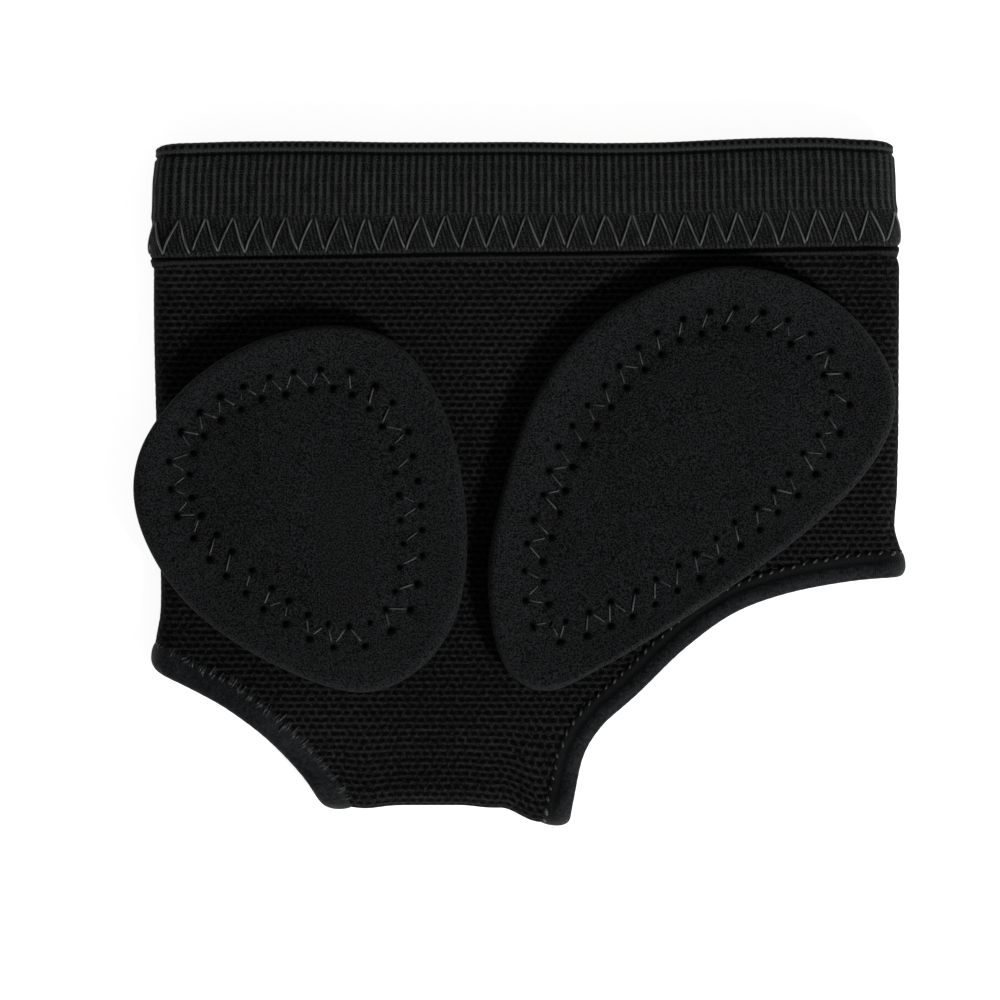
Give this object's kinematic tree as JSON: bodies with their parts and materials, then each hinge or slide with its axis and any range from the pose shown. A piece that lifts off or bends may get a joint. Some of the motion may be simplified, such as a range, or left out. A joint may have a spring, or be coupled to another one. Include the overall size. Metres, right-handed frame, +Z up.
{
  "type": "dance foot pad",
  "caption": "Half-sole dance foot pad: an elastic knitted sleeve with a woven band, toe openings and thick foam pads under the ball of the foot.",
  "frame": {"origin": "middle of the bounding box, on the surface that the pad lies on", "axes": "+X across the pad from the small toe opening's side to the large one's, +Y from the toes towards the band, +Z up out of the sole"},
  "size_m": [0.1022, 0.0912, 0.0128],
  "materials": {
    "knit": "black open elastic knit",
    "elastic": "black ribbed woven elastic",
    "hem": "black overlocked rolled hem",
    "suede_foam": "black brushed suede-like foam"
  },
  "bodies": {
    "root": {"knitted_sleeve": "knit", "elastic_band": "elastic", "small_toe_hem": "hem", "large_toe_hem": "hem", "round_pad": "suede_foam", "long_pad": "suede_foam"}
  },
  "joints": []
}
